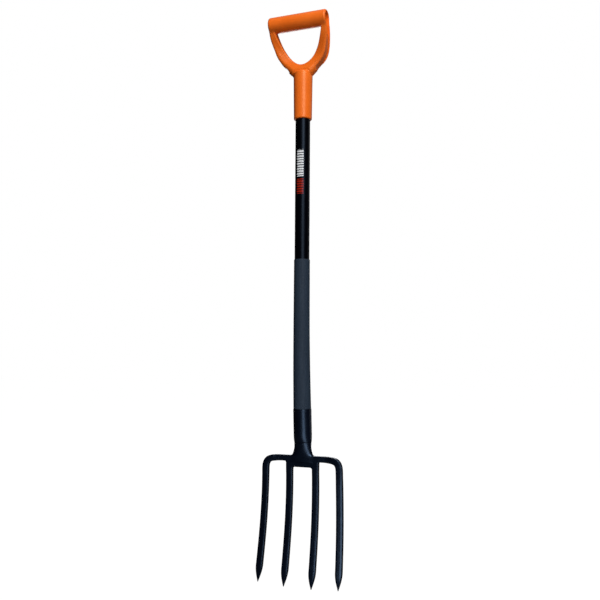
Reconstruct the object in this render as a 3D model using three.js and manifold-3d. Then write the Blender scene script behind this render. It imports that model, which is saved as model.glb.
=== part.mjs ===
// Digging fork: a moulded D-handle, a steel tube shaft with a grip sleeve, and a welded
// four-tine head. Units are millimetres, +Z is up the shaft and X lies across the tines.
// The front of the fork, towards which the tine points curve, faces -Y.
import * as THREE from 'three';
import { mergeVertices } from 'three/addons/utils/BufferGeometryUtils.js';
import Module from 'manifold-3d';

const wasm = await Module();
wasm.setup();

// ---- Driving dimensions ------------------------------------------------------------------
const GAP = 0.3; // between pieces that meet, filled by paint, weld or glue on the real fork
const ROUND_SIDES = 40;

// The spine is the centre line from the head to the crossbar. It is straight up the shaft and
// leans forward beyond each of its two bends. Lengths are measured along it from the ground.
const HEAD_BEND = { start: 560, radius: 2600, lean: 0.075 };
const GRIP_BEND = { start: 1088, radius: 60, lean: THREE.MathUtils.degToRad(23.4) };

const SHAFT = { radius: 15.7, wall: 1.5, foot: 306, top: 1058 };
const SLEEVE = { foot: 357.3, top: 669, footRadius: 18.5, topRadius: 16.75, lip: 0.5 };
const SOCKET = { foot: 287.5, top: 357, radius: 18.9, bore: SHAFT.radius + GAP };
const NECK = { foot: 256, halfWidth: 17.6, footHalfWidth: 20.4, footHalfDepth: 7.5, tangTop: 300 };

const HANDLE = { rim: 972, rimRadius: 19.3, rimRound: 2.5, neckTop: 1066, neckRadius: 20.6 };
const YOKE = { base: 1078, depth: 23, round: 4, channelWidth: 14, channelDepth: 3.5 };
// Below the hand opening the arms fair into the neck: fuller in front and scooped at the back
const YOKE_FOOT = { below: 8, halfWidth: 20, front: 14.5, back: 4, fairTop: YOKE.base + 38 };
const OPENING = { floor: YOKE.base + 13.6, top: YOKE.base + 95, halfWidth: 54 };
const CROSSBAR = { along: YOKE.base + 104.4, radius: 16.5, halfLength: 65.2, round: 4 };

const CROWN = { top: 260, underside: 236.5, barUnderside: 248.2, centreY: 12, depth: 13, round: 1.5 };
const CROWN_REACH = 44; // half width to the ends of the side stubs
const CROWN_FILLET = { side: 3, sole: 4 };
const STUB_FOOT = 229; // lower ends of the two stubs that carry the inner tines
const TINE = { width: 13.5, depth: 11.5, corner: 3, pointLength: 34, tip: 1, rootLength: 0.15 };
const BAR_WIDTH = CROWN.top - CROWN.barUnderside;
const INNER = { top: 28.4, foot: 29.5, topY: CROWN.centreY, belly: [4, 4], tipHeight: 0.5 };
const OUTER = { top: 80.6, foot: 85.8, topY: 8, belly: [3, 2], tipHeight: 4.5 };
const TIP_Y = -17;

const RIVET = { shank: 2.4, head: 4.8, dome: 2.4, seat: 0.6 };
const HANDLE_RIVET_AT = 1012;
const SOCKET_RIVET_AT = 330;

// ---- Materials ---------------------------------------------------------------------------
const FINISHES = {
  orangePlastic: { color: 0xe8702a, roughness: 0.45, metalness: 0 },
  shaftPaint: { color: 0x0c0e12, roughness: 0.35, metalness: 0 },
  sleeveRubber: { color: 0x28323c, roughness: 0.8, metalness: 0 },
  headPaint: { color: 0x0d1017, roughness: 0.3, metalness: 0 },
  zincSteel: { color: 0xb4b6b8, roughness: 0.35, metalness: 1 },
};

// ---- Solids: joining, cutting and bending -------------------------------------------------
// The same triangles with shared vertices and nothing but their positions
function positionsOnly(geometry) {
  const bare = geometry.clone();
  bare.deleteAttribute('normal');
  bare.deleteAttribute('uv');
  return mergeVertices(bare, 1e-4);
}

function toSolid(geometry) {
  const merged = positionsOnly(geometry);
  const vertProperties = new Float32Array(merged.attributes.position.array);
  const triVerts = new Uint32Array(merged.index.array);
  return new wasm.Manifold(new wasm.Mesh({ numProp: 3, vertProperties, triVerts }));
}

function toGeometry(solid) {
  const mesh = solid.getMesh();
  const geometry = new THREE.BufferGeometry();
  const positions = new Float32Array(mesh.vertProperties);
  geometry.setAttribute('position', new THREE.BufferAttribute(positions, 3));
  geometry.setIndex(new THREE.BufferAttribute(new Uint32Array(mesh.triVerts), 1));
  geometry.computeVertexNormals();
  return geometry;
}

function join(...geometries) {
  return toGeometry(geometries.map(toSolid).reduce((whole, next) => whole.add(next)));
}

function cut(geometry, ...cutters) {
  const solids = cutters.map(toSolid);
  return toGeometry(solids.reduce((rest, cutter) => rest.subtract(cutter), toSolid(geometry)));
}

function moveVertices(geometry, place) {
  const position = geometry.attributes.position;
  const vertex = new THREE.Vector3();
  for (let i = 0; i < position.count; i += 1) {
    place(vertex.fromBufferAttribute(position, i));
    position.setXYZ(i, vertex.x, vertex.y, vertex.z);
  }
  return geometry;
}

// A bend reached after `run` along the spine: sideways and lengthwise travel, and the lean there
function bendTravel({ radius, lean }, run) {
  const angle = Math.min(Math.max(run, 0) / radius, lean);
  const straight = Math.max(run - radius * lean, 0);
  return {
    aside: radius * (1 - Math.cos(angle)) + straight * Math.sin(lean),
    onward: radius * Math.sin(angle) + straight * Math.cos(lean),
    lean: angle,
  };
}

// The spine's point and forward lean at a length along it
function spineAt(length) {
  if (length < HEAD_BEND.start) {
    const below = bendTravel(HEAD_BEND, HEAD_BEND.start - length);
    return { y: below.aside, z: HEAD_BEND.start - below.onward, lean: below.lean };
  }
  const above = bendTravel(GRIP_BEND, length - GRIP_BEND.start);
  return { y: -above.aside, z: Math.min(length, GRIP_BEND.start) + above.onward, lean: above.lean };
}

// Bends a geometry made along a straight spine, so that its z becomes length along the real one.
// Its depth stays square to the spine, or turns with only a share of the lean.
function alongSpine(geometry, share = 1) {
  return moveVertices(geometry, (vertex) => {
    const { y, z, lean } = spineAt(vertex.z);
    const depth = vertex.y;
    vertex.y = y + depth * Math.cos(lean * share);
    vertex.z = z + depth * Math.sin(lean * share);
  });
}

// A body turned about Z from [radius, height] corners, going up its outside, with stations to
// bend at. Corners that don't start on the axis are a ring, which closes on its first corner.
function turned(corners, spacing = 40) {
  const closing = corners[0][0] > 0 ? [corners[0]] : [];
  const points = [...corners, ...closing].map(([x, y]) => new THREE.Vector2(x, y));
  const profile = [points[0]];
  for (let i = 1; i < points.length; i += 1) {
    const steps = Math.max(1, Math.ceil(points[i].distanceTo(points[i - 1]) / spacing));
    for (let step = 1; step <= steps; step += 1) {
      profile.push(points[i - 1].clone().lerp(points[i], step / steps));
    }
  }
  return new THREE.LatheGeometry(profile, ROUND_SIDES).rotateX(Math.PI / 2);
}

function roundedBox(halfX, halfY, round, cornerSteps = 2) {
  const shape = new THREE.Shape();
  const centres = [[1, 1], [-1, 1], [-1, -1], [1, -1]];
  centres.forEach(([sx, sy], quarter) => {
    for (let step = 0; step <= cornerSteps; step += 1) {
      const angle = (Math.PI / 2) * (quarter + step / cornerSteps);
      const x = sx * (halfX - round) + round * Math.cos(angle);
      const y = sy * (halfY - round) + round * Math.sin(angle);
      if (quarter + step === 0) shape.moveTo(x, y);
      else shape.lineTo(x, y);
    }
  });
  return shape;
}

// The whole outline of a shape that is symmetric across X, from its +X half listed one way round
function mirroredOutline(half) {
  const points = half.map(([x, y]) => new THREE.Vector2(x, y));
  const others = half.filter(([x]) => x > 0).map(([x, y]) => new THREE.Vector2(-x, y));
  return [...points, ...others.reverse()];
}

function curvePoints(corners, steps) {
  const curve = new THREE.CubicBezierCurve(...corners.map(([x, y]) => new THREE.Vector2(x, y)));
  return curve.getPoints(steps).map(({ x, y }) => [x, y]);
}

// Turns a shape drawn across X and up into a slab of the given depth, centred on Y = 0
function uprightSlab(shape, depth, round = 0) {
  const slab = new THREE.ExtrudeGeometry(shape, {
    depth: depth - 2 * round,
    bevelEnabled: round > 0,
    bevelThickness: round,
    bevelSize: round,
    bevelOffset: -round,
    bevelSegments: 3,
  });
  slab.translate(0, 0, round - depth / 2);
  slab.rotateX(Math.PI / 2);
  return slab;
}

// ---- Shaft and sleeve ---------------------------------------------------------------------
function shaftTube() {
  const { radius, wall, foot, top } = SHAFT;
  const tube = turned([[radius - wall, foot], [radius, foot], [radius, top], [radius - wall, top]]);
  return cut(alongSpine(tube), rivetHole(SOCKET_RIVET_AT, radius), rivetHole(HANDLE_RIVET_AT, radius));
}

function gripSleeve() {
  const { foot, top, footRadius, topRadius, lip } = SLEEVE;
  const bore = SHAFT.radius + GAP;
  const middle = (foot + top) / 2;
  const middleRadius = THREE.MathUtils.lerp(footRadius, topRadius, 0.78);
  return alongSpine(turned([
    [bore, foot], [footRadius, foot], [middleRadius, middle], [topRadius, top - lip],
    [topRadius - lip, top], [bore, top],
  ]));
}

// ---- Rivets on the back of the tool -------------------------------------------------------
// Puts a body that is turned about Y into a wall's back, at a length along the spine
function intoBack(geometry, length, radius) {
  return alongSpine(geometry.translate(0, radius, length));
}

function rivetHole(length, radius) {
  const hole = new THREE.CylinderGeometry(RIVET.shank + GAP, RIVET.shank + GAP, 16, 24);
  return intoBack(hole, length, radius);
}

function rivet(length, radius) {
  const { shank, head, dome } = RIVET;
  const inside = radius - SHAFT.radius + SHAFT.wall + 1;
  const profile = [
    new THREE.Vector2(0, -inside),
    new THREE.Vector2(shank, -inside),
    new THREE.Vector2(shank, GAP),
  ];
  for (let step = 0; step <= 5; step += 1) {
    const angle = (Math.PI / 2) * (step / 5);
    profile.push(new THREE.Vector2(head * Math.cos(angle), GAP + dome * Math.sin(angle)));
  }
  profile[profile.length - 1].x = 0;
  return intoBack(new THREE.LatheGeometry(profile, 24), length, radius);
}

// ---- D-handle -----------------------------------------------------------------------------
// The outer edge of the yoke's arms, from its foot on the neck up to the crossbar
function yokeOutline(inset) {
  const { base } = YOKE;
  return mirroredOutline(curvePoints([
    [YOKE_FOOT.halfWidth - inset, base - YOKE_FOOT.below],
    [51.8 - inset, base + 25.4 + inset / 2],
    [62 - inset, base + 30.4 + inset],
    [CROSSBAR.halfLength - inset, CROSSBAR.along],
  ], 14));
}

function handOpening() {
  const { floor, top, halfWidth } = OPENING;
  return new THREE.Path(mirroredOutline(curvePoints([
    [0, floor],
    [halfWidth * 0.51, floor],
    [halfWidth * 0.94, floor + 43],
    [halfWidth, top],
  ], 14)));
}

// Everything that lies within the channel's width but outside the bottom of the channel
function channelCutter() {
  const surround = new THREE.Shape(mirroredOutline([[100, YOKE.base - 60], [100, CROSSBAR.along + 60]]));
  surround.holes.push(new THREE.Path(yokeOutline(YOKE.channelDepth)));
  return uprightSlab(surround, YOKE.channelWidth);
}

function yoke() {
  const outline = new THREE.Shape(yokeOutline(0));
  outline.holes.push(handOpening());
  const arms = cut(uprightSlab(outline, YOKE.depth, YOKE.round), channelCutter());
  const { below, front, back, fairTop } = YOKE_FOOT;
  return moveVertices(arms, (vertex) => {
    const fair = THREE.MathUtils.smoothstep(vertex.z, YOKE.base - below, fairTop);
    const footDepth = vertex.y > 0 ? back : front;
    vertex.y *= THREE.MathUtils.lerp(footDepth / (YOKE.depth / 2), 1, fair);
  });
}

function crossbar() {
  const { radius, halfLength, round, along } = CROSSBAR;
  const profile = [new THREE.Vector2(0, -halfLength)];
  for (const end of [-1, 1]) {
    for (let step = 0; step <= 4; step += 1) {
      const angle = (Math.PI / 2) * (end < 0 ? step / 4 : 1 - step / 4);
      const shoulder = end * (halfLength - round + round * Math.cos(angle));
      profile.push(new THREE.Vector2(radius - round + round * Math.sin(angle), shoulder));
    }
  }
  profile.push(new THREE.Vector2(0, halfLength));
  const barBody = new THREE.LatheGeometry(profile, ROUND_SIDES);
  barBody.rotateZ(-Math.PI / 2);
  barBody.translate(0, 0, along);
  return barBody;
}

function handleNeck() {
  const { rim, rimRadius, rimRound, neckTop, neckRadius } = HANDLE;
  return turned([
    [0, rim], [rimRadius - rimRound, rim], [rimRadius, rim + rimRound], [neckRadius, neckTop],
    [neckRadius - 3, neckTop + 8], [neckRadius - 10, neckTop + 16], [0, neckTop + 22],
  ]);
}

function neckBore() {
  const bore = SHAFT.radius + GAP;
  return turned([[0, HANDLE.rim - 5], [bore, HANDLE.rim - 5], [bore, SHAFT.top + 2], [0, SHAFT.top + 2]]);
}

function dHandle() {
  const moulding = join(alongSpine(handleNeck()), alongSpine(yoke(), 1 / 3), alongSpine(crossbar()));
  return cut(moulding, neckBore(), rivetHole(HANDLE_RIVET_AT, HANDLE.rimRadius));
}

// ---- Head: socket, crown and tines --------------------------------------------------------
function headSocket() {
  const { foot, top, radius, bore } = SOCKET;
  const tube = turned([[bore, foot], [radius, foot], [radius, top], [bore, top]]);
  return cut(alongSpine(tube), rivetHole(SOCKET_RIVET_AT, radius));
}

// The crown's neck, drawn from a flat foot to a round shoulder under the socket
function neck() {
  const { foot, halfWidth, footHalfWidth, footHalfDepth } = NECK;
  const top = SOCKET.foot - GAP;
  const round = new THREE.Shape();
  round.absarc(0, 0, 1, 0, 2 * Math.PI);
  const drawn = new THREE.ExtrudeGeometry(round, {
    depth: 1, steps: 8, curveSegments: ROUND_SIDES / 2, bevelEnabled: false,
  });
  const shoulder = spineAt(top);
  return moveVertices(drawn, (vertex) => {
    const up = vertex.z;
    const full = THREE.MathUtils.smoothstep(up, 0, 0.85);
    const depth = vertex.y * THREE.MathUtils.lerp(footHalfDepth, halfWidth, full);
    vertex.x *= THREE.MathUtils.lerp(footHalfWidth, halfWidth, full);
    vertex.y = depth + THREE.MathUtils.lerp(CROWN.centreY, shoulder.y, up);
    vertex.z = THREE.MathUtils.lerp(foot, shoulder.z, up) + depth * Math.sin(shoulder.lean * up);
  });
}

// The tang above the neck, which fills the socket up to the shaft's end
function tang() {
  const inside = SOCKET.foot - 3;
  const profile = [[0, inside], [SHAFT.radius, inside], [SHAFT.radius, NECK.tangTop], [0, NECK.tangTop]];
  return alongSpine(turned(profile));
}

function fillet(centreX, centreZ, radius, from, to) {
  return [0, 0.25, 0.5, 0.75, 1].map((t) => {
    const angle = THREE.MathUtils.lerp(from, to, t);
    return [centreX + radius * Math.cos(angle), centreZ + radius * Math.sin(angle)];
  });
}

function crownBlock() {
  const { top, underside, barUnderside, centreY, depth } = CROWN;
  const { side, sole } = CROWN_FILLET;
  const outer = INNER.top + TINE.width / 2;
  const inner = INNER.top - TINE.width / 2;
  const outline = new THREE.Shape(mirroredOutline([
    [CROWN_REACH, top],
    [CROWN_REACH, barUnderside],
    ...fillet(outer + side, barUnderside - side, side, Math.PI / 2, Math.PI),
    [outer, STUB_FOOT],
    [inner, STUB_FOOT],
    ...fillet(inner - sole, underside - sole, sole, 0, Math.PI / 2),
  ]));
  const block = uprightSlab(outline, depth, CROWN.round).translate(0, centreY, 0);
  return join(block, neck(), tang());
}

// The drop of a tine on the +X side, which bellies back a little and then curves to its point
function tineDrop({ top, foot, topY, belly, tipHeight }, startHeight) {
  return new THREE.CubicBezierCurve3(
    new THREE.Vector3(top, topY, startHeight),
    new THREE.Vector3(THREE.MathUtils.lerp(top, foot, 0.2), topY + belly[0], 150),
    new THREE.Vector3(THREE.MathUtils.lerp(top, foot, 0.75), belly[1], 85),
    new THREE.Vector3(foot, TIP_Y, tipHeight),
  );
}

function innerTineCurve() {
  return tineDrop(INNER, STUB_FOOT - GAP);
}

// The outer tine leaves the crown as a shoulder bar, which reaches forward and turns down
function outerTineCurve() {
  const barHeight = (CROWN.top + CROWN.barUnderside) / 2;
  const halfway = THREE.MathUtils.lerp(CROWN.centreY, OUTER.topY, 0.5);
  const bendStart = new THREE.Vector3(63, halfway, barHeight - 1);
  const bendEnd = new THREE.Vector3(OUTER.top, OUTER.topY, 231);
  const path = new THREE.CurvePath();
  path.add(new THREE.QuadraticBezierCurve3(
    new THREE.Vector3(CROWN_REACH + GAP, CROWN.centreY, barHeight),
    new THREE.Vector3(54, CROWN.centreY, barHeight),
    bendStart,
  ));
  path.add(new THREE.CubicBezierCurve3(
    bendStart,
    new THREE.Vector3(76, OUTER.topY + 0.5, barHeight - 2.5),
    new THREE.Vector3(OUTER.top - 0.4, OUTER.topY, 246),
    bendEnd,
  ));
  path.add(tineDrop(OUTER, bendEnd.z));
  return path;
}

// A forged bar swept along a curve, starting at rootWidth and drawn out to a point
function forgedTine(curve, rootWidth, side, steps) {
  const section = roundedBox(TINE.width / 2, TINE.depth / 2, TINE.corner);
  const barBody = new THREE.ExtrudeGeometry(section, { depth: 1, steps, bevelEnabled: false });
  const length = curve.getLength();
  const backward = new THREE.Vector3(0, 1, 0);
  return moveVertices(barBody, (vertex) => {
    const along = vertex.z;
    const centre = curve.getPointAt(along);
    const tangent = curve.getTangentAt(along);
    const across = new THREE.Vector3().crossVectors(backward, tangent).normalize();
    const behind = new THREE.Vector3().crossVectors(tangent, across);
    const toPoint = Math.min((1 - along) * length / TINE.pointLength, 1);
    const point = THREE.MathUtils.lerp(TINE.tip / TINE.width, 1, Math.sin((toPoint * Math.PI) / 2));
    const root = THREE.MathUtils.lerp(rootWidth / TINE.width, 1, Math.min(along / TINE.rootLength, 1));
    centre.addScaledVector(across, vertex.x * point * root);
    centre.addScaledVector(behind, vertex.y * point);
    vertex.copy(centre);
    vertex.x *= side;
  });
}

// Mirroring a body turns it inside out, so its triangles are wound the other way again
function tine(curve, rootWidth, side, steps) {
  const body = positionsOnly(forgedTine(curve, rootWidth, side, steps));
  if (side < 0) body.index.array.reverse();
  body.computeVertexNormals();
  return body;
}

// ---- Assembly -----------------------------------------------------------------------------
function piece(name, geometry, finish) {
  const mesh = new THREE.Mesh(geometry, new THREE.MeshStandardMaterial(FINISHES[finish]));
  mesh.name = name;
  return mesh;
}

const fork = new THREE.Group();
fork.add(
  piece('d_handle', dHandle(), 'orangePlastic'),
  piece('handle_rivet', rivet(HANDLE_RIVET_AT, HANDLE.rimRadius + RIVET.seat), 'zincSteel'),
  piece('shaft_tube', shaftTube(), 'shaftPaint'),
  piece('grip_sleeve', gripSleeve(), 'sleeveRubber'),
  piece('head_socket', headSocket(), 'headPaint'),
  piece('socket_rivet', rivet(SOCKET_RIVET_AT, SOCKET.radius), 'headPaint'),
  piece('crown_block', crownBlock(), 'headPaint'),
);
for (const [label, side] of [['left', -1], ['right', 1]]) {
  fork.add(
    piece(`inner_tine_${label}`, tine(innerTineCurve(), TINE.width, side, 26), 'headPaint'),
    piece(`outer_tine_${label}`, tine(outerTineCurve(), BAR_WIDTH, side, 40), 'headPaint'),
  );
}

// The origin is the centre of the fork's box, on the ground below it
const box = new THREE.Box3().setFromObject(fork);
fork.position.set(0, -(box.min.y + box.max.y) / 2, -box.min.z);

export default fork;
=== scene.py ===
# Looks of the digging fork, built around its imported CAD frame. Shapes are worked out in
# millimetres in the fork's own axes: Z along the straight shaft, X across the tines and -Y to
# the front. to_frame() then puts them in the frame's metres.
import math
import bpy
import numpy as np
from mathutils import Matrix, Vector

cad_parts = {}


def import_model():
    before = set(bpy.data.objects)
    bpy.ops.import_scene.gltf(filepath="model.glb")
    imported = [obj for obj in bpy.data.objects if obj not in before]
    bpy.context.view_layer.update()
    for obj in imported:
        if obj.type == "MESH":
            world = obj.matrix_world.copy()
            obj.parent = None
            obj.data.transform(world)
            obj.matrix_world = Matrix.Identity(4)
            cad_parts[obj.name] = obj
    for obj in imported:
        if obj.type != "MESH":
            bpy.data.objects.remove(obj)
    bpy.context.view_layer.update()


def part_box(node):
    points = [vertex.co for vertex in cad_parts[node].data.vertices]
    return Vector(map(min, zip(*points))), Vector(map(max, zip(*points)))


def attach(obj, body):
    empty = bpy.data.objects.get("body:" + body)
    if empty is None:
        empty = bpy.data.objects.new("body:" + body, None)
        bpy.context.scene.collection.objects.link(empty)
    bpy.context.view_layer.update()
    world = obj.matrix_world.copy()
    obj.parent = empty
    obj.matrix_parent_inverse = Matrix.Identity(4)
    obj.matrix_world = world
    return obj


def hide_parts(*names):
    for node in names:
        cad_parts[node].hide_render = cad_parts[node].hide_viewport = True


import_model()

# ---- Driving dimensions: close to the CAD part's, and more for the finer shape --------------
HEAD_BEND = {"start": 560, "radius": 2600, "lean": 0.075}
GRIP_BEND = {"start": 1088, "radius": 60, "lean": math.radians(23.4)}

SHAFT = {"radius": 15.7, "wall": 1.5, "foot": 306, "top": 1058}
SLEEVE = {"foot": 357.3, "top": 669, "foot_radius": 18.5, "top_radius": 16.75, "bore": 16.0}
SLEEVE_LOW_TAPER = 0.78  # share of the sleeve's taper that its lower half takes
SLEEVE_EDGE = {"foot_in": 0.5, "foot_up": 0.6, "top_in": 0.6, "top_down": 0.9, "top_corner": 0.25}
SLEEVE_RIB = {"pitch": 3.0, "depth": 0.22, "bluntness": 0.6, "cuff": 5, "fade": 2}
SOCKET = {"foot": 287.5, "top": 357, "radius": 19.1, "bore": 16.0, "taper": 0.5, "taper_rise": 9}
SOCKET_EDGE = {"foot": 0.4, "top": 0.5}
SOCKET_STRAIGHT = {"above_foot": 12, "below_top": 2}
NECK = {"foot": 256, "into_crown": 8, "below_socket": 0.3, "half_width": 18.3, "foot_half_width": 22.5}
NECK_PRESSED = {"foot_flatness": 0.34, "round_from": 303, "foot_power": 2.6}
# Shares of the neck's height by which it has narrowed, and by which its section is an ellipse.
NECK_CHANGE = {"width": 0.75, "power": 0.5}

# The yoke is the root of the D-handle's arms. Lengths here run along the spine.
COLLAR = {"rim": 972, "rim_radius": 19.3, "rim_round": 2.5, "top": 1077, "top_radius": 20.6, "top_round": 4}
HANDLE_BORE = {"clearance": 0.2, "past_tube": 1}
YOKE = {"base": 1078, "half_depth": 12.3, "turn": 1 / 3}
YOKE_ROUND = {"inner": 2.8, "crotch": 11, "foot": 13.5, "outer_low": 10, "outer_back": 5, "outer_high": 3.5}
YOKE_FOOT = {"below": 8, "half_width": 22, "front": 14.5, "back": 7.5, "fair_top": YOKE["base"] + 38}
YOKE_SLOPE = {"width": 17, "rise": 0.38}
YOKE_BULGE = ((56, YOKE["base"] + 25), (64.6, YOKE["base"] + 30.4))
OPENING = {"floor": YOKE["base"] + 15.8, "top": YOKE["base"] + 95, "half_width": 53.4}
OPENING_BULGE = {"floor_share": 0.42, "side_share": 0.90, "side_rise": 43}
CROSSBAR = {"along": YOKE["base"] + 104.8, "radius": 17, "half_length": 65.3, "round": 5}
ARMS = {"past_bar": 0.5, "above_bar": 40}
CHANNEL = {"half_width": 9, "depth": 3.8, "start": YOKE["base"] + 2, "end_radius": 12.8, "end_depth": 9}
# Stretches of the spine over which the arms' section changes.
YOKE_CHANGE = {
    "slope": (YOKE["base"] + 40, YOKE["base"] + 80),
    "front_round": (YOKE["base"] + 5, YOKE["base"] + 35),
    "crotch_round": (YOKE["base"] + 22, YOKE["base"] + 48),
    "outer_round": (YOKE["base"] + 45, YOKE["base"] + 85),
    "channel_depth": (YOKE["base"] - 4, YOKE["base"] + 10),
    "channel_end": (CROSSBAR["along"] - 36, CROSSBAR["along"] - 12),
}

CROWN = {"top": 260.5, "underside": 236.5, "bar_underside": 248.2, "centre_y": 12, "half_depth": 6.5}
CROWN_REACH = 44
CROWN_EDGE = {"round": 1.8, "side_fillet": 3, "sole_fillet": 4, "into_bar": 6}
# The crown's section gives way to the bars over this much of X, and to the tines below it.
CROWN_FADE = {"start": 34, "end": 56, "below_stub": 8, "above_sole": 4}
STUB_FOOT = 229
TINE = {"width": 13.5, "half_depth": 5.8, "bevel": 4, "drop": 0.6, "round": 1.2, "point": 34, "tip": 1.0}
# Heights of a tine's two middle control points, and the shares of its splay that they have.
TINE_BELLY = {"high": 150, "high_splay": 0.2, "low": 85, "low_splay": 0.75}
TURN_FADE = (190, STUB_FOOT + 4)  # heights between which the tines' turn fades out
BAR_WIDTH = CROWN["top"] - CROWN["bar_underside"]
BAR_TAPER = (14, 56)  # run from its start over which a shoulder bar widens into its tine
INNER = {"top": 28.4, "foot": 29.5, "top_y": 12, "belly": (4, 4), "tip": 0.5, "turn": math.radians(2)}
INNER_START = CROWN["top"] - 14
OUTER = {"top": 80.6, "foot": 85.8, "top_y": 8, "belly": (3, 2), "tip": 4.5, "turn": math.radians(5)}
SHOULDER = {"start": 20, "straight_to": 54, "foot": 231}
SHOULDER_BEND = {"x": 63, "drop": 1, "corner_x": 76, "corner_drop": 2.5, "corner_back": 0.5}
SHOULDER_SIDE = {"inward": 0.4, "height": 246}
BETWEEN_TINES = 50  # the X from which a place belongs to the outer tine
TIP_Y = -17

RIVET = {"head": 4.8, "dome": 2.4, "seat": 0.6, "edge": 0.3, "flat_angle": 0.02}
RIVETS = {
    "handle_rivet": {"along": 1012, "back": COLLAR["rim_radius"] + 0.3},
    "socket_rivet": {"along": 330, "back": SOCKET["radius"]},
}

# How softly surfaces run into each other, and how finely the skinned pieces are divided.
BLEND = {"slope": 4, "bar": 3, "collar": 3, "channel_end": 8, "channel_edge": 1.5, "neck": 5}
ROUND_LIMIT = 0.6  # most of its half depth that a tine's edge is rounded by
TABLE_STEP = 0.5
HANDLE_CELL = (0.8, 0.8, 0.8)
HEAD_CELL = (0.8, 0.8, 1.2)

# The printed mark: plain white bars and red bars on the front of the shaft, over two lengths
# of it. The pitch and the half width are in the frame's metres, and a bar's half height is in
# pitches. The two values of a half say where the print starts and stops fading.
MARK = {"white": (845, 903.5), "red": (808, 840.4)}
MARK_BARS = {"pitch": 0.0054, "half_width": (0.0071, 0.0074), "half_height": (0.3, 0.34)}

# Softboxes: azimuth from the front, elevation, distance, width and height, and radiance. The
# low one is a small box near the floor that puts the long highlight on the socket and neck.
LIT_POINT = np.array([0, 0, 0.65])
LIGHTS = {
    "key": (31, 46, 2.3, (0.9, 1.6), 8.4),
    "front": (30, 12, 2.3, (1.3, 1.6), 3.3),
    "low": (34, -50, 0.68, (0.23, 0.4), 2.8),
    "side": (140, 12, 2.0, (0.9, 2.2), 0.5),
    "back": (200, 4, 2.4, (1.3, 1.7), 2.5),
    "top": (0, 88, 2.6, (2.0, 2.0), 0.4),
}
WORLD_LIGHT = 0.012

# The camera's place in the fork's own millimetres, and its aim.
CAMERA_PLACE = (491.6, -1382.2, 454.0)
CAMERA_AIM = {"forward": (-0.3361, 0.9377, 0.088), "up": (0.0235, -0.0851, 0.9961)}
LENS = {"sensor": 36, "focal": 42}
FLOOR_HALF = 12

# The frame's origin is under the middle of the fork's box. The straight shaft shows how far the
# fork's own axes lie from it.
tube_low, tube_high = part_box("shaft_tube")
SHIFT = np.array([0, tube_low.y * 1000 + SHAFT["radius"], tube_high.z * 1000 - SHAFT["top"]])


def to_frame(points):
    return (np.asarray(points, float) + SHIFT) / 1000


# ---- The spine -----------------------------------------------------------------------------
def bend_travel(bend, run):
    """Sideways and lengthwise travel, and the lean, at a run beyond a bend's start."""
    angle = np.clip(run / bend["radius"], 0, bend["lean"])
    straight = np.maximum(run - bend["radius"] * bend["lean"], 0)
    aside = bend["radius"] * (1 - np.cos(angle)) + straight * math.sin(bend["lean"])
    onward = bend["radius"] * np.sin(angle) + straight * math.cos(bend["lean"])
    return aside, onward, angle


def spine(length):
    """Y, Z and forward lean of the spine at a length along it."""
    length = np.asarray(length, float)
    back, down, low_lean = bend_travel(HEAD_BEND, HEAD_BEND["start"] - length)
    forward, up, high_lean = bend_travel(GRIP_BEND, length - GRIP_BEND["start"])
    middle = np.clip(length, HEAD_BEND["start"], GRIP_BEND["start"])
    return back - forward, middle - down + up, low_lean + high_lean


# ---- Numbers and curves --------------------------------------------------------------------
def lerp(a, b, t):
    return a + (b - a) * t


def smoothstep(value, start, end):
    t = np.clip((value - start) / (end - start), 0, 1)
    return t * t * (3 - 2 * t)


def bezier(corners, count):
    """Points along a Bezier curve of any degree."""
    t = np.linspace(0, 1, count)[:, None, None]
    level = np.repeat(np.array(corners, float)[None], count, axis=0)
    while level.shape[1] > 1:
        level = level[:, :-1] * (1 - t) + level[:, 1:] * t
    return level[:, 0]


def arc(centre, radius, start, end, count=9):
    angle = np.linspace(start, end, count)[:, None]
    return np.array(centre) + radius * np.hstack([np.cos(angle), np.sin(angle)])


# ---- Distance fields -----------------------------------------------------------------------
def outline_distance(u, v, outline):
    """Signed distance from points in a plane to a closed outline, negative inside it."""
    nearest = np.full(np.broadcast(u, v).shape, np.inf)
    inside = np.zeros(nearest.shape, bool)
    for (au, av), (bu, bv) in zip(outline, np.roll(outline, -1, axis=0)):
        du, dv = bu - au, bv - av
        along = np.clip(((u - au) * du + (v - av) * dv) / max(du * du + dv * dv, 1e-9), 0, 1)
        nearest = np.minimum(nearest, (u - au - along * du) ** 2 + (v - av - along * dv) ** 2)
        if du or dv:
            inside ^= ((av > v) != (bv > v)) & (u < du * (v - av) / (dv or 1e-9) + au)
    return np.where(inside, -1, 1) * np.sqrt(nearest)


def table_places(low, high):
    """The places of a table's values over a box in a plane."""
    sides = [np.arange(a, b + TABLE_STEP, TABLE_STEP) for a, b in zip(low, high)]
    return np.meshgrid(*sides, indexing="ij")


class Table:
    """Values over a fine grid in a plane, read back between its points."""

    def __init__(self, low, values):
        self.low = low
        self.values = values

    def __call__(self, u, v):
        i, fu = self.place(u, 0)
        j, fv = self.place(v, 1)
        near = self.values[i, j] * (1 - fu) + self.values[i + 1, j] * fu
        far = self.values[i, j + 1] * (1 - fu) + self.values[i + 1, j + 1] * fu
        return near * (1 - fv) + far * fv

    def place(self, value, axis):
        last = self.values.shape[axis] - 1.001
        at = np.clip((value - self.low[axis]) / TABLE_STEP, 0, last)
        whole = at.astype(int)
        return whole, at - whole


def soft_union(a, b, blend):
    """Either of two fields, with the join between them filled in."""
    mix = np.clip(0.5 + 0.5 * (b - a) / blend, 0, 1)
    return b * (1 - mix) + a * mix - blend * mix * (1 - mix)


def soft_cut(body, cutter, blend):
    """A field with another taken away, and the edge between them eased."""
    return -soft_union(-body, cutter, blend)


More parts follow.
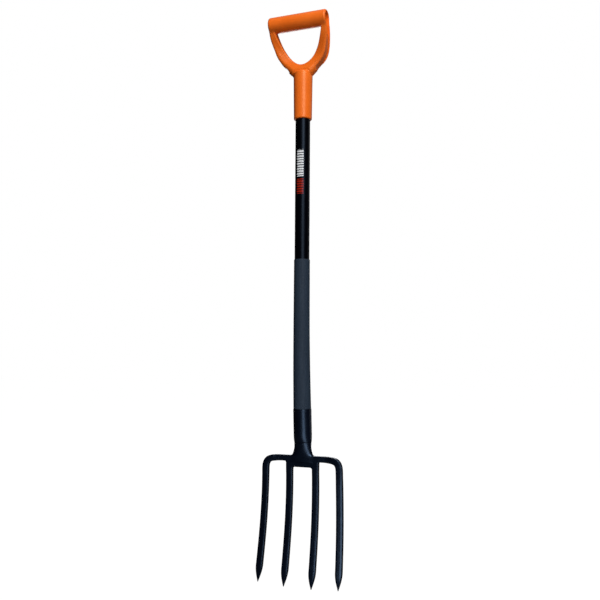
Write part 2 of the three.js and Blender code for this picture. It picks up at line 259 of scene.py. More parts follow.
def rounded(a, b, radius):
    """The common part of two fields, with the edge between them rounded."""
    a = a + radius
    b = b + radius
    return np.hypot(np.maximum(a, 0), np.maximum(b, 0)) + np.minimum(np.maximum(a, b), 0) - radius


# ---- Meshes --------------------------------------------------------------------------------
def add_piece(name, points, faces, material, replaces, normals=None):
    """A mesh in the frame, shaded smooth or by normals of its own."""
    mesh = bpy.data.meshes.new(name)
    mesh.from_pydata(to_frame(points).tolist(), [], [list(face) for face in faces])
    mesh.shade_smooth()
    if normals is not None:
        mesh.normals_split_custom_set_from_vertices(normals.tolist())
    mesh.materials.append(material)
    piece = bpy.data.objects.new(name, mesh)
    bpy.context.scene.collection.objects.link(piece)
    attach(piece, "root")
    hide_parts(*replaces)


def grid_faces(rows, columns, close_rows=False):
    """Quads over a grid of points whose columns close on themselves."""
    index = np.arange(rows * columns).reshape(rows, columns)
    if close_rows:
        index = np.vstack([index, index[:1]])
    right = np.roll(index, -1, axis=1)
    return np.stack([index[:-1], right[:-1], right[1:], index[1:]], -1).reshape(-1, 4)


def turned(profile, sides, squash=1):
    """A ring turned round the spine from (radius, length) points that close on themselves.

    Squash is the ring's depth over its width, once or at each point.
    """
    radius, length = np.array(profile, float).T
    y, z, lean = spine(length)
    angle = np.linspace(0, 2 * math.pi, sides, endpoint=False)
    across = radius[:, None] * np.cos(angle)
    depth = (radius * squash)[:, None] * np.sin(angle)
    points = np.stack([
        across,
        y[:, None] + depth * np.cos(lean)[:, None],
        z[:, None] + depth * np.sin(lean)[:, None],
    ], -1)
    return points.reshape(-1, 3), grid_faces(len(radius), sides, close_rows=True)


def skin(field, low, high, cell):
    """A quad mesh on the zero surface of a distance field over a box of cells."""
    axes = [np.arange(a, b + c, c) for a, b, c in zip(low, high, cell)]
    shape = tuple(len(axis) for axis in axes)
    values = np.broadcast_to(field(*np.ix_(*axes)), shape).astype(np.float32)
    inside = values < 0
    cells_shape = tuple(n - 1 for n in shape)
    count = np.zeros(cells_shape, np.int8)
    for corner in np.ndindex(2, 2, 2):
        part = tuple(slice(c, c + n) for c, n in zip(corner, cells_shape))
        count += inside[part]
    cells = np.argwhere((count > 0) & (count < 8))
    index = np.full(cells_shape, -1)
    index[tuple(cells.T)] = np.arange(len(cells))

    total = np.zeros((len(cells), 3))
    hits = np.zeros(len(cells))
    faces = []
    for axis in range(3):
        step = np.eye(3, dtype=int)[axis]
        next_axis = np.eye(3, dtype=int)[(axis + 1) % 3]
        last_axis = np.eye(3, dtype=int)[(axis + 2) % 3]
        for a, b in np.ndindex(2, 2):
            start = a * next_axis + b * last_axis
            first = values[tuple((cells + start).T)]
            second = values[tuple((cells + start + step).T)]
            crosses = (first < 0) != (second < 0)
            t = first[crosses] / (first[crosses] - second[crosses])
            total[crosses] += start + t[:, None] * step
            hits += crosses
        low_side = tuple(slice(1 - s, n - 1) for s, n in zip(step, shape))
        high_side = tuple(slice(1, n - 1 + s) for s, n in zip(step, shape))
        edges = np.argwhere(inside[low_side] != inside[high_side]) + 1 - step
        around = [edges - next_axis - last_axis, edges - last_axis, edges, edges - next_axis]
        quads = np.stack([index[tuple(corner.T)] for corner in around], -1)
        outward = inside[tuple(edges.T)]
        faces.append(np.where(outward[:, None], quads, quads[:, ::-1]))
    points = np.array(low) + (cells + total / hits[:, None]) * np.array(cell)
    return settle(points, field), np.vstack(faces)


def slope_of(field, points, probe=0.2):
    """A field's gradient, from its values a short way off on both sides."""
    return np.stack([
        field(*(points + offset).T) - field(*(points - offset).T) for offset in probe * np.eye(3)
    ], -1) / (2 * probe)


def settle(points, field, rounds=3, reach=0.6):
    """Moves points the last short way onto a field's zero surface."""
    for _ in range(rounds):
        slope = slope_of(field, points)
        travel = np.clip(field(*points.T) / np.maximum((slope ** 2).sum(1), 0.1), -reach, reach)
        points = points - travel[:, None] * slope
    return points


def skinned_piece(name, field, low, high, cell, material, replaces):
    """A piece on a field's zero surface, shaded by the field's own slope."""
    points, faces = skin(field, low, high, cell)
    slope = slope_of(field, points)
    normals = slope / np.linalg.norm(slope, axis=1)[:, None]
    add_piece(name, points, faces, material, replaces, normals)


# ---- D-handle ------------------------------------------------------------------------------
def mirrored(half):
    """A closed outline from its points on the +X side."""
    half = np.array(half, float)
    return np.vstack([half, (half * [-1, 1])[::-1]])


def yoke_edge():
    """The arms' outer edge, carried on above the crossbar."""
    edge = CROSSBAR["half_length"] + ARMS["past_bar"]
    foot = (YOKE_FOOT["half_width"], YOKE["base"] - YOKE_FOOT["below"])
    curve = bezier([foot, *YOKE_BULGE, (edge, CROSSBAR["along"])], 40)
    return mirrored(np.vstack([curve, [(edge, CROSSBAR["along"] + ARMS["above_bar"])]]))


def hand_opening():
    floor = OPENING["floor"]
    half_width = OPENING["half_width"]
    return mirrored(bezier([
        (0, floor),
        (half_width * OPENING_BULGE["floor_share"], floor),
        (half_width * OPENING_BULGE["side_share"], floor + OPENING_BULGE["side_rise"]),
        (half_width, OPENING["top"]),
    ], 40))


def yoke_tables():
    """Distances to the arms' outer edge and to the hand opening, over X and spine length."""
    low = (-2, YOKE["base"] - 40)
    high = (80, CROSSBAR["along"] + ARMS["above_bar"])
    u, v = table_places(low, high)
    return [Table(low, outline_distance(u, v, outline)) for outline in (yoke_edge(), hand_opening())]


def yoke_place(y, z):
    """Length along the spine, and depth from it, of points in the yoke."""
    length = z + 0 * y
    for _ in range(4):
        spine_y, spine_z, lean = spine(length)
        tilt = lean * YOKE["turn"]
        miss = (z - spine_z) * np.cos(tilt) - (y - spine_y) * np.sin(tilt)
        length = length + miss / np.cos(lean - tilt)
    depth = (y - spine_y) * np.cos(tilt) + (z - spine_z) * np.sin(tilt)
    return length, depth


def changed(what, length):
    """How far the arms' section has changed at a length along the spine, from 0 to 1."""
    return smoothstep(length, *YOKE_CHANGE[what])


def handle_field():
    """The whole D-handle: collar, arms, crossbar, outer channels and bore."""
    edge_table, opening_table = yoke_tables()
    bar_y, bar_z, _ = spine(CROSSBAR["along"])

    def collar(x, y, z):
        rim, top = COLLAR["rim"], COLLAR["top"]
        radius = np.interp(z, [rim, top], [COLLAR["rim_radius"], COLLAR["top_radius"]])
        edge_round = np.where(z > (rim + top) / 2, COLLAR["top_round"], COLLAR["rim_round"])
        return rounded(np.hypot(x, y) - radius, np.maximum(rim - z, z - top), edge_round)

    def bore(x, y, z):
        past_wall = np.hypot(x, y) - SHAFT["radius"] - HANDLE_BORE["clearance"]
        return np.maximum(past_wall, z - SHAFT["top"] - HANDLE_BORE["past_tube"])

    def arms(length, depth, edge, opening):
        fair = smoothstep(length, YOKE["base"] - YOKE_FOOT["below"], YOKE_FOOT["fair_top"])
        foot = np.where(depth < 0, YOKE_FOOT["front"], YOKE_FOOT["back"])
        slope = YOKE_SLOPE["rise"] * (1 - changed("slope", length))
        from_opening = soft_union(opening, YOKE_SLOPE["width"], BLEND["slope"])
        half_depth = YOKE["half_depth"] - slope * (YOKE_SLOPE["width"] - from_opening)
        thickness = np.abs(depth) - lerp(foot, half_depth, fair)

        front_round = lerp(YOKE_ROUND["foot"], YOKE_ROUND["outer_low"], changed("front_round", length))
        low_round = np.where(depth < 0, front_round, YOKE_ROUND["outer_back"])
        outer_round = lerp(low_round, YOKE_ROUND["outer_high"], changed("outer_round", length))
        outer = rounded(edge, thickness, outer_round)

        back_round = lerp(YOKE_ROUND["crotch"], YOKE_ROUND["inner"], changed("crotch_round", length))
        inner_round = np.where(depth < 0, YOKE_ROUND["inner"], back_round)
        inner = rounded(-opening, thickness, inner_round)
        return np.maximum(np.maximum(outer, inner), length - CROSSBAR["along"])

    def channel(length, depth, edge, across):
        strip = np.maximum(np.abs(depth) - CHANNEL["half_width"], CHANNEL["start"] - length)
        strip = np.maximum(strip, length - CROSSBAR["along"])
        region = soft_union(strip, across - CHANNEL["end_radius"], BLEND["channel_end"])
        low_depth = CHANNEL["depth"] * changed("channel_depth", length)
        floor = lerp(low_depth, CHANNEL["end_depth"], changed("channel_end", length))
        return np.maximum(region, -edge - floor)

    def field(x, y, z):
        side = np.abs(x)
        length, depth = yoke_place(y, z)
        edge = edge_table(side, length)
        opening = opening_table(side, length)
        across = np.hypot(y - bar_y, z - bar_z)
        bar = rounded(across - CROSSBAR["radius"], side - CROSSBAR["half_length"], CROSSBAR["round"])
        body = soft_union(arms(length, depth, edge, opening), bar, BLEND["bar"])
        body = soft_cut(body, channel(length, depth, edge, across), BLEND["channel_edge"])
        body = soft_union(body, collar(x, y, z), BLEND["collar"])
        return np.maximum(body, -bore(x, y, z))

    return field


def d_handle():
    """The D-handle, skinned over a box that clears it all round."""
    low = (-68, -52, COLLAR["rim"] - 3)
    high = (68, 24, CROSSBAR["along"] + 14)
    skinned_piece(
        "d_handle_moulding", handle_field(), low, high, HANDLE_CELL,
        orange_plastic(), ["d_handle"],
    )


# ---- Shaft, sleeve and socket ---------------------------------------------------------------
def stations(start, end, spacing):
    return np.linspace(start, end, max(2, int(abs(end - start) / spacing) + 1))


def wall(radius, start, end, spacing):
    """Profile points up or down a straight wall of a turned body."""
    length = stations(start, end, spacing)
    return [(radius, value) for value in length]


def shaft():
    radius, foot, top = SHAFT["radius"], SHAFT["foot"], SHAFT["top"]
    outside = wall(radius, foot, top, spacing=6)
    inside = wall(radius - SHAFT["wall"], top, foot, spacing=12)
    points, faces = turned(outside + inside, sides=96)
    add_piece("shaft_tubing", points, faces, shaft_paint(), ["shaft_tube"])


def sleeve_radius(length):
    """The sleeve's radius, which falls faster over its lower half."""
    low, high = SLEEVE["foot"], SLEEVE["top"]
    foot_radius, top_radius = SLEEVE["foot_radius"], SLEEVE["top_radius"]
    middle_radius = lerp(foot_radius, top_radius, SLEEVE_LOW_TAPER)
    return np.interp(length, [low, (low + high) / 2, high], [foot_radius, middle_radius, top_radius])


def sleeve():
    """The sleeve: a plain cuff at each end and fine ribs between them."""
    low, high, bore = SLEEVE["foot"], SLEEVE["top"], SLEEVE["bore"]
    cuff, fade, edge = SLEEVE_RIB["cuff"], SLEEVE_RIB["fade"], SLEEVE_EDGE
    length = stations(low + edge["foot_up"], high - edge["top_down"], SLEEVE_RIB["pitch"] / 6)
    ribbed = smoothstep(length, low + cuff, low + cuff + fade)
    ribbed = ribbed * (1 - smoothstep(length, high - cuff - fade, high - cuff))
    wave = np.abs(np.sin(math.pi * (length - low) / SLEEVE_RIB["pitch"])) ** SLEEVE_RIB["bluntness"]
    radius = sleeve_radius(length) - SLEEVE_RIB["depth"] * ribbed * (1 - wave)
    foot = [(bore, low), (SLEEVE["foot_radius"] - edge["foot_in"], low)]
    top_radius = SLEEVE["top_radius"]
    corner = (top_radius - edge["top_corner"], high - edge["top_corner"])
    top = [corner, (top_radius - edge["top_in"], high), (bore, high)]
    inside = wall(bore, high - cuff, low + cuff, spacing=12)
    points, faces = turned(foot + list(zip(radius, length)) + top + inside, sides=72)
    add_piece("ribbed_sleeve", points, faces, sleeve_rubber(), ["grip_sleeve"])


def socket(lacquer):
    """The socket tube, drawn in a little at its foot and pressed flat there with the neck."""
    low, high, radius, bore = (SOCKET[key] for key in ("foot", "top", "radius", "bore"))
    foot_edge, top_edge = SOCKET_EDGE["foot"], SOCKET_EDGE["top"]
    left = np.linspace(1, 0, 8)
    tapered = np.stack([
        radius - SOCKET["taper"] * left ** 2,
        low + foot_edge + SOCKET["taper_rise"] * (1 - left),
    ], -1)
    start, end = low + SOCKET_STRAIGHT["above_foot"], high - SOCKET_STRAIGHT["below_top"]
    profile = np.vstack([
        (radius - SOCKET["taper"] - foot_edge, low),
        tapered,
        wall(radius, start, end, spacing=5),
        arc((radius - top_edge, high - top_edge), top_edge, 0, math.pi / 2, 4),
        wall(bore, high, low, spacing=12),
    ])
    points, faces = turned(profile, sides=96, squash=flatness(profile[:, 1]))
    add_piece("head_socket_tube", points, faces, lacquer, ["head_socket"])


def rivet(name, material):
    """A domed rivet head on a surface that faces away from the front."""
    radius, dome, seat, edge = (RIVET[key] for key in ("head", "dome", "seat", "edge"))
    y, z, lean = spine(RIVETS[name]["along"])
    sphere = (radius ** 2 + dome ** 2) / (2 * dome)
    turns = np.linspace(math.asin(radius / sphere), RIVET["flat_angle"], 12)
    cap = [(sphere * math.sin(turn), sphere * (math.cos(turn) - 1) + dome) for turn in turns]
    around, height = np.array([(radius - edge, -seat), (radius, edge - seat), *cap]).T
    angle = np.linspace(0, 2 * math.pi, 40, endpoint=False)
    across = around[:, None] * np.cos(angle)
    along = around[:, None] * np.sin(angle)
    out = np.repeat(RIVETS[name]["back"] + height[:, None], len(angle), axis=1)
    points = np.stack([
        across,
        y + out * np.cos(lean) - along * np.sin(lean),
        z + out * np.sin(lean) + along * np.cos(lean),
    ], -1).reshape(-1, 3)
    faces = grid_faces(len(around), len(angle))[:, ::-1].tolist()
    faces.append(list(range(len(angle))))
    faces.append(list(range(len(points) - 1, len(points) - len(angle) - 1, -1)))
    add_piece(name + "_dome", points, faces, material, [name])


# ---- Forged head ----------------------------------------------------------------------------
def tine_drop(tine, start):
    """The centre line of a tine from its start down to its point, on the +X side."""
    top, foot = tine["top"], tine["foot"]
    high_belly, low_belly = tine["belly"]
    return bezier([
        (top, tine["top_y"], start),
        (lerp(top, foot, TINE_BELLY["high_splay"]), tine["top_y"] + high_belly, TINE_BELLY["high"]),
        (lerp(top, foot, TINE_BELLY["low_splay"]), low_belly, TINE_BELLY["low"]),
        (foot, TIP_Y, tine["tip"]),
    ], 160)


def inner_path():
    """The centre line of an inner tine, from inside the crown down to its point."""
    above = [(INNER["top"], CROWN["centre_y"], INNER_START)]
    return np.vstack([above, tine_drop(INNER, STUB_FOOT)])


def outer_path():
    """The centre line of an outer tine: out of the crown, over its shoulder and down."""
    height = (CROWN["top"] + CROWN["bar_underside"]) / 2
    y, top, top_y = CROWN["centre_y"], OUTER["top"], OUTER["top_y"]
    bend = (SHOULDER_BEND["x"], (y + top_y) / 2, height - SHOULDER_BEND["drop"])
    bar = bezier([(CROWN_REACH, y, height), (SHOULDER["straight_to"], y, height), bend], 40)
    corner_y, corner_z = top_y + SHOULDER_BEND["corner_back"], height - SHOULDER_BEND["corner_drop"]
    shoulder = bezier([
        bend,
        (SHOULDER_BEND["corner_x"], corner_y, corner_z),
        (top - SHOULDER_SIDE["inward"], top_y, SHOULDER_SIDE["height"]),
        (top, top_y, SHOULDER["foot"]),
    ], 60)
    start = [(SHOULDER["start"], y, height)]
    return np.vstack([start, bar, shoulder[1:], tine_drop(OUTER, SHOULDER["foot"])[1:]])


def run_along(path):
    """How far along a path each of its points lies."""
    steps = np.linalg.norm(np.diff(path, axis=0), axis=1)
    return np.concatenate([[0], np.cumsum(steps)])


def pointed(path):
    """How much of its full section a tine keeps, from 1 down to its tip."""
    run = run_along(path)
    to_point = np.minimum((run[-1] - run) / TINE["point"], 1)
    return lerp(TINE["tip"] / TINE["width"], 1, np.sin(to_point * math.pi / 2))


def bar_outline(path, width):
    """The outline, seen from the front, of a bar of varying width along a path."""
    plan = path[:, [0, 2]]
    along = np.gradient(plan, axis=0)
    along /= np.linalg.norm(along, axis=1)[:, None]
    across = along[:, ::-1] * [1, -1] * width[:, None] / 2
    return np.vstack([plan + across, (plan - across)[::-1]])


def crown_outline():
    side, sole = CROWN_EDGE["side_fillet"], CROWN_EDGE["sole_fillet"]
    reach = CROWN_REACH + CROWN_EDGE["into_bar"]
    outer = INNER["top"] + TINE["width"] / 2
    inner = INNER["top"] - TINE["width"] / 2
    half = np.vstack([
        [(reach, CROWN["top"]), (reach, CROWN["bar_underside"])],
        arc((outer + side, CROWN["bar_underside"] - side), side, math.pi / 2, math.pi),
        [(outer, STUB_FOOT), (inner, STUB_FOOT)],
        arc((inner - sole, CROWN["underside"] - sole), sole, 0, math.pi / 2),
    ])
    return mirrored(half)


def place_on(path, u, v):
    """The place on a path, counted in its points, that is nearest as seen from the front."""
    place = np.zeros(u.shape)
    best = np.full(u.shape, np.inf)
    plan = path[:, [0, 2]]
    for number, ((au, av), (bu, bv)) in enumerate(zip(plan[:-1], plan[1:])):
        du, dv = bu - au, bv - av
        along = np.clip(((u - au) * du + (v - av) * dv) / (du * du + dv * dv), 0, 1)
        away = (u - au - along * du) ** 2 + (v - av - along * dv) ** 2
        place = np.where(away < best, number + along, place)
        best = np.minimum(best, away)
    return place


def path_lean(path):
    """How much of a path's direction lies in the plane seen from the front."""
    step = np.gradient(path, axis=0)
    return np.hypot(step[:, 0], step[:, 2]) / np.linalg.norm(step, axis=1)


def head_tables():
    """Front outline, centre depth, share of full section and lean of the head, over X and Z."""
    inner, outer = inner_path(), outer_path()
    inner_scale, outer_scale = pointed(inner), pointed(outer)
    outer_width = lerp(BAR_WIDTH, TINE["width"], smoothstep(run_along(outer), *BAR_TAPER))
    low, high = (-4, -6), (104, 276)
    u, v = table_places(low, high)
    on_inner, on_outer = place_on(inner, u, v), place_on(outer, u, v)

    def along_tines(inner_values, outer_values):
        at_inner = np.interp(on_inner, np.arange(len(inner)), inner_values)
        at_outer = np.interp(on_outer, np.arange(len(outer)), outer_values)
        return np.where(u > BETWEEN_TINES, at_outer, at_inner)

    outlines = [
        crown_outline(),
        bar_outline(inner, TINE["width"] * inner_scale),
        bar_outline(outer, outer_width * outer_scale),
    ]
    plan = np.minimum.reduce([outline_distance(u, v, outline) for outline in outlines])
    turn = np.where(u > BETWEEN_TINES, OUTER["turn"], INNER["turn"]) * (1 - smoothstep(v, *TURN_FADE))
    aside = u - along_tines(inner[:, 0], outer[:, 0])
    values = [
        plan,
        along_tines(inner[:, 1], outer[:, 1]) + aside * np.tan(turn),
        along_tines(inner_scale, outer_scale),
        along_tines(path_lean(inner), path_lean(outer)),
    ]
    return [Table(low, each) for each in values]


def flatness(length):
    """Depth over width of the neck, which is pressed flatter and flatter down to its foot."""
    ends = [NECK["foot"], NECK_PRESSED["round_from"]]
    return np.interp(length, ends, [NECK_PRESSED["foot_flatness"], 1])


def neck_field(x, y, z):
    """The neck, drawn from a flat foot in the crown to a round shoulder under the socket."""
    shoulder_y, shoulder_z, lean = spine(SOCKET["foot"] - NECK["below_socket"])
    up = np.clip((z - NECK["foot"]) / (shoulder_z - NECK["foot"]), 0, 1)
    widened = smoothstep(up, 0, NECK_CHANGE["width"])
    half_width = lerp(NECK["foot_half_width"], NECK["half_width"], widened)
    half_depth = half_width * flatness(z)
    power = lerp(NECK_PRESSED["foot_power"], 2, smoothstep(up, 0, NECK_CHANGE["power"]))
    across = np.abs(x) / half_width
    depth = np.abs(y - lerp(CROWN["centre_y"], shoulder_y, up)) / half_depth
    ring = np.maximum(across ** power + depth ** power, 1e-6) ** (1 / power)
    slope = np.hypot((across / ring) ** (power - 1) / half_width, (depth / ring) ** (power - 1) / half_depth)
    sides = (ring - 1) / np.maximum(slope, 1e-3)
    top = (z - shoulder_z) * np.cos(lean) - (y - shoulder_y) * np.sin(lean)
    return np.maximum(sides, np.maximum(top, NECK["foot"] - NECK["into_crown"] - z))


def crown_share(side, z):
    """How far a place belongs to the crown, from 0 on the tines and shoulders to 1."""
    inside = 1 - smoothstep(side, CROWN_FADE["start"], CROWN_FADE["end"])
    low, high = STUB_FOOT - CROWN_FADE["below_stub"], CROWN["underside"] + CROWN_FADE["above_sole"]
    return inside * smoothstep(z, low, high)


def head_field():
    """The forged head: the plate of crown, bars and tines, with the neck drawn out of it."""
    plan_table, centre_table, scale_table, lean_table = head_tables()

    def field(x, y, z):
        side = np.abs(x)
        at_crown = crown_share(side, z)
        plan = plan_table(side, z)
        scale = scale_table(side, z)
        inward = np.clip(-plan / (scale * TINE["bevel"]), 0, 1)
        tine_depth = scale * (TINE["half_depth"] - TINE["drop"] * (1 - inward))
        half_depth = lerp(tine_depth, CROWN["half_depth"], at_crown)
        edge_round = np.minimum(lerp(TINE["round"], CROWN_EDGE["round"], at_crown), half_depth * ROUND_LIMIT)
        depth = np.abs(y - centre_table(side, z)) * lean_table(side, z) - half_depth
        plate = rounded(plan, depth, edge_round)
        return soft_union(plate, neck_field(x, y, z), BLEND["neck"])

    return field


def forged_head(lacquer):
    """Crown, neck and tines in one skin, over a box that clears them all round."""
    low = (-98, -24, -2)
    high = (98, 44, SOCKET["foot"] + 6)
    tines = [f"{place}_tine_{side}" for place in ("inner", "outer") for side in ("left", "right")]
    skinned_piece(
        "forged_head", head_field(), low, high, HEAD_CELL,
        lacquer, ["crown_block", *tines],
    )


# ---- Materials ------------------------------------------------------------------------------
class Look:
    """A procedural material, built up from a few kinds of node."""

    def __init__(self, name, sockets):
        self.material = bpy.data.materials.new(name)
        self.material.use_nodes = True
        self.tree = self.material.node_tree
        self.shader = self.tree.nodes["Principled BSDF"]
        self.position = self.tree.nodes.new("ShaderNodeTexCoord").outputs["Object"]
        self.set(sockets)

    def set(self, sockets):
        for name, value in sockets.items():
            self.put(self.shader.inputs[name], value)

    def put(self, socket, value):
        if isinstance(value, bpy.types.NodeSocket):
            self.tree.links.new(value, socket)
        else:
            socket.default_value = value

    def node(self, kind, inputs, **settings):
        made = self.tree.nodes.new("ShaderNode" + kind)
        for name, value in settings.items():
            setattr(made, name, value)
        for name, value in inputs.items():
            self.put(made.inputs[name], value)
        return made

    def noise(self, size, detail=2, stretch=(1, 1, 1)):
        """Noise from 0 to 1 with features of a size in millimetres."""
        scale = [1000 / size / part for part in stretch]
        place = self.node("Mapping", {"Vector": self.position, "Scale": scale}).outputs[0]
        return self.node("TexNoise", {"Vector": place, "Scale": 1, "Detail": detail}).outputs[0]

    def math(self, operation, a, b=0.0):
        return self.node("Math", {0: a, 1: b}, operation=operation).outputs[0]

    def ramp(self, value, start, end, low=0.0, high=1.0):
        """A value's range turned into another, and kept inside it."""
        ends = {"Value": value, "From Min": start, "From Max": end, "To Min": low, "To Max": high}
        return self.node("MapRange", ends).outputs[0]

    def mix(self, share, first, second):
        return self.node("Mix", {0: share, 6: first, 7: second}, data_type="RGBA").outputs[2]

    def bump(self, layers):
        """Layers of (height from 0 to 1, depth in millimetres) pressed into the surface."""
        normal = None
        for height, depth in layers:
            inputs = {"Height": height, "Distance": depth / 1000}
            if normal:
                inputs["Normal"] = normal
            normal = self.node("Bump", inputs).outputs[0]
        self.set({"Normal": normal})

    def edges(self, start, end):
        """How far a surface point lies on a raised edge, from 0 to 1."""
        pointiness = self.node("NewGeometry", {}).outputs["Pointiness"]
        return self.ramp(pointiness, start, end)


def colour(red, green, blue):
    return (red, green, blue, 1)


def orange_plastic():
    look = Look("orange_plastic", {"Specular IOR Level": 0.36, "Specular Tint": colour(1, 0.86, 0.55)})
    clouds = look.noise(45, 3)
    tint = look.mix(look.ramp(clouds, 0.3, 0.7), colour(0.80, 0.138, 0.010), colour(0.88, 0.165, 0.015))
    # Raised edges turn a lighter orange: edge wear, and a painted edge highlight.
    wear_and_edge_highlight = look.mix(look.edges(0.51, 0.62), tint, colour(0.92, 0.22, 0.035))
    look.set({"Base Color": wear_and_edge_highlight, "Roughness": look.ramp(look.noise(14, 4), 0.3, 0.7, 0.29, 0.38)})
    look.bump([(look.noise(1.4, 2), 0.02), (look.noise(11, 2), 0.05)])
    return look.material


def printed_mark(look):
    """Shares of white and of red print in a plain pattern of bars on the shaft's front."""
    x, y, z = look.node("SeparateXYZ", {0: look.position}).outputs
    side = look.ramp(look.math("ABSOLUTE", x), *MARK_BARS["half_width"], 1, 0)
    front = look.math("LESS_THAN", y, to_frame((0, 0, 0))[1])
    place = look.math("MULTIPLY", side, front)
    phase = look.math("FRACT", look.math("DIVIDE", z, MARK_BARS["pitch"]))
    from_middle = look.math("ABSOLUTE", look.math("SUBTRACT", phase, 0.5))
    bars = look.ramp(from_middle, *MARK_BARS["half_height"], 1, 0)
    printed = look.math("MULTIPLY", place, bars)

    def between(key):
        low, high = (to_frame((0, 0, value))[2] for value in MARK[key])
        inside = look.math("MULTIPLY", look.math("GREATER_THAN", z, low), look.math("LESS_THAN", z, high))
        return look.math("MULTIPLY", printed, inside)

    return between("white"), between("red")


def shaft_paint():
    look = Look("shaft_paint", {"Specular IOR Level": 0.16, "Specular Tint": colour(0.5, 0.7, 1)})
    clouds = look.ramp(look.noise(60, 3, (1, 1, 4)), 0.3, 0.7)
    black = look.mix(clouds, colour(0.0003, 0.0003, 0.0010), colour(0.0010, 0.0011, 0.0022))
    white, red = printed_mark(look)
    tinted = look.mix(white, black, colour(0.72, 0.74, 0.76))
    tinted = look.mix(red, tinted, colour(0.30, 0.016, 0.006))
    gloss = look.ramp(look.noise(20, 4, (1, 1, 3)), 0.3, 0.7, 0.27, 0.34)
    look.set({"Base Color": tinted, "Roughness": gloss})
    look.bump([(look.noise(2.2, 2), 0.01)])
    return look.material


def sleeve_rubber():
    look = Look("sleeve_rubber", {"Specular IOR Level": 0.2})
    streaks = look.ramp(look.noise(5, 3, (1, 1, 12)), 0.3, 0.7)
    tint = look.mix(streaks, colour(0.013, 0.023, 0.040), colour(0.019, 0.032, 0.052))
    # Raised rib edges turn lighter: rubbed wear, and a painted edge highlight.
    wear_and_edge_highlight = look.mix(look.edges(0.53, 0.65), tint, colour(0.05, 0.068, 0.085))
    look.set({"Base Color": wear_and_edge_highlight, "Roughness": look.ramp(look.noise(8, 3), 0.3, 0.7, 0.6, 0.74)})
    look.bump([(look.noise(0.9, 2), 0.04)])
    return look.material


def head_lacquer():
    """Blue-black lacquer, lighter on raised edges: rubbed wear on the forged edges, and a painted edge
    highlight.
    """
    look = Look("head_lacquer", {"Specular IOR Level": 0.7, "Specular Tint": colour(0.42, 0.64, 1)})
    clouds = look.ramp(look.noise(35, 4), 0.3, 0.7)
    tint = look.mix(clouds, colour(0.0002, 0.0006, 0.0030), colour(0.0006, 0.0014, 0.0055))
    # Raised edges turn lighter: rubbed wear, and a painted edge highlight.
    wear_and_edge_highlight = look.mix(look.edges(0.54, 0.66), tint, colour(0.012, 0.015, 0.024))
    look.set({"Base Color": wear_and_edge_highlight, "Roughness": look.ramp(look.noise(16, 3), 0.3, 0.7, 0.30, 0.34)})
    look.bump([(look.noise(34, 2), 0.12), (look.noise(2.6, 2), 0.003)])
    return look.material


def rivet_steel():
    look = Look("rivet_steel", {"Metallic": 1.0})
    tint = look.mix(look.noise(3, 4), colour(0.42, 0.43, 0.45), colour(0.62, 0.63, 0.64))
    look.set({"Base Color": tint, "Roughness": look.ramp(look.noise(1.5, 3), 0.3, 0.7, 0.28, 0.45)})
    look.bump([(look.noise(1.1, 3), 0.03)])
    return look.material


def floor_paper():
    """Pale floor paper, bright enough to run into the white background."""
    look = Look("floor_paper", {"Specular IOR Level": 0.0, "Roughness": 1.0})
    tint = look.mix(look.noise(90, 3), colour(0.07, 0.07, 0.07), colour(0.09, 0.09, 0.09))
    seen = look.node("LightPath", {}).outputs["Is Camera Ray"]
    look.set({"Base Color": tint, "Emission Color": colour(1, 1, 1), "Emission Strength": seen})
    return look.material


# ---- Stage ----------------------------------------------------------------------------------
def floor():
    half = FLOOR_HALF
    corners = [(-half, -half, 0), (half, -half, 0), (half, half, 0), (-half, half, 0)]
    mesh = bpy.data.meshes.new("floor")
    mesh.from_pydata(corners, [], [(0, 1, 2, 3)])
    mesh.materials.append(floor_paper())
    sheet = bpy.data.objects.new("floor", mesh)
    bpy.context.scene.collection.objects.link(sheet)


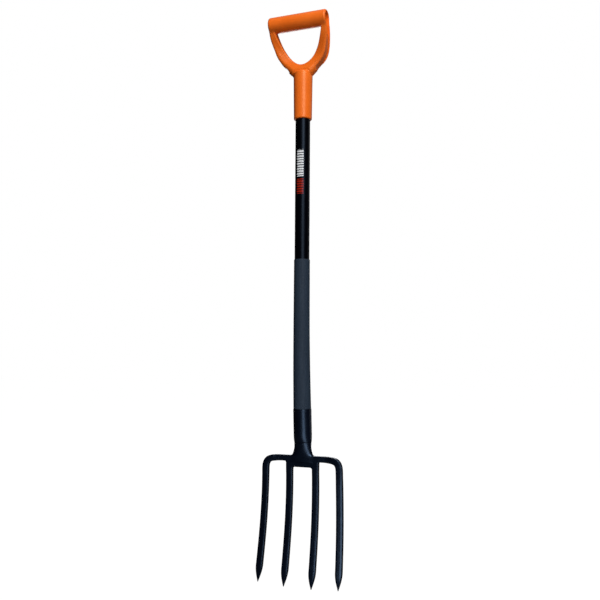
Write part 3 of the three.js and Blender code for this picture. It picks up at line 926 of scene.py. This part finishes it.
def area_light(name, place, target, size, power):
    """A rectangular light aimed at a target, hidden from the camera."""
    data = bpy.data.lights.new(name, "AREA")
    data.shape = "RECTANGLE"
    data.size, data.size_y = size
    data.energy = power
    light = bpy.data.objects.new(name, data)
    light.location = place
    direction = np.array(target) - np.array(place)
    yaw = math.atan2(direction[0], -direction[1])
    pitch = math.atan2(np.hypot(direction[0], direction[1]), -direction[2])
    light.rotation_euler = (pitch, 0, yaw + math.pi)
    light.visible_camera = False
    bpy.context.scene.collection.objects.link(light)


def camera():
    data = bpy.data.cameras.new("camera")
    data.sensor_width = LENS["sensor"]
    data.lens = LENS["focal"]
    data.clip_start = 0.05
    viewer = bpy.data.objects.new("camera", data)
    forward = np.array(CAMERA_AIM["forward"])
    forward /= np.linalg.norm(forward)
    right = np.cross(forward, CAMERA_AIM["up"])
    right /= np.linalg.norm(right)
    up = np.cross(right, forward)
    matrix = np.eye(4)
    matrix[:3] = np.stack([right, up, -forward, to_frame(CAMERA_PLACE)], -1)
    viewer.matrix_world = Matrix(matrix.tolist())
    bpy.context.scene.collection.objects.link(viewer)
    bpy.context.scene.camera = viewer


def world():
    """A white backdrop for the camera, and a dim even light on the fork."""
    studio = bpy.data.worlds.new("studio")
    bpy.context.scene.world = studio
    studio.use_nodes = True
    nodes, links = studio.node_tree.nodes, studio.node_tree.links
    rays = nodes.new("ShaderNodeLightPath")
    strength = nodes.new("ShaderNodeMapRange")
    strength.inputs["To Min"].default_value = WORLD_LIGHT
    links.new(rays.outputs["Is Camera Ray"], strength.inputs["Value"])
    background = nodes["Background"]
    background.inputs["Color"].default_value = (1, 1, 1, 1)
    links.new(strength.outputs[0], background.inputs["Strength"])


def lights():
    """Softboxes placed by azimuth from the front, elevation and distance round the fork."""
    for name, (azimuth, elevation, distance, size, radiance) in LIGHTS.items():
        turn, rise = math.radians(azimuth), math.radians(elevation)
        direction = np.array([
            math.sin(turn) * math.cos(rise), -math.cos(turn) * math.cos(rise), math.sin(rise)
        ])
        place = LIT_POINT + distance * direction
        area_light(name, place, LIT_POINT, size, radiance * math.pi * size[0] * size[1])


bpy.context.scene.view_settings.view_transform = "Standard"
camera()
world()
lights()
floor()
d_handle()
shaft()
sleeve()
lacquer = head_lacquer()
socket(lacquer)
forged_head(lacquer)
rivet("handle_rivet", rivet_steel())
rivet("socket_rivet", lacquer)
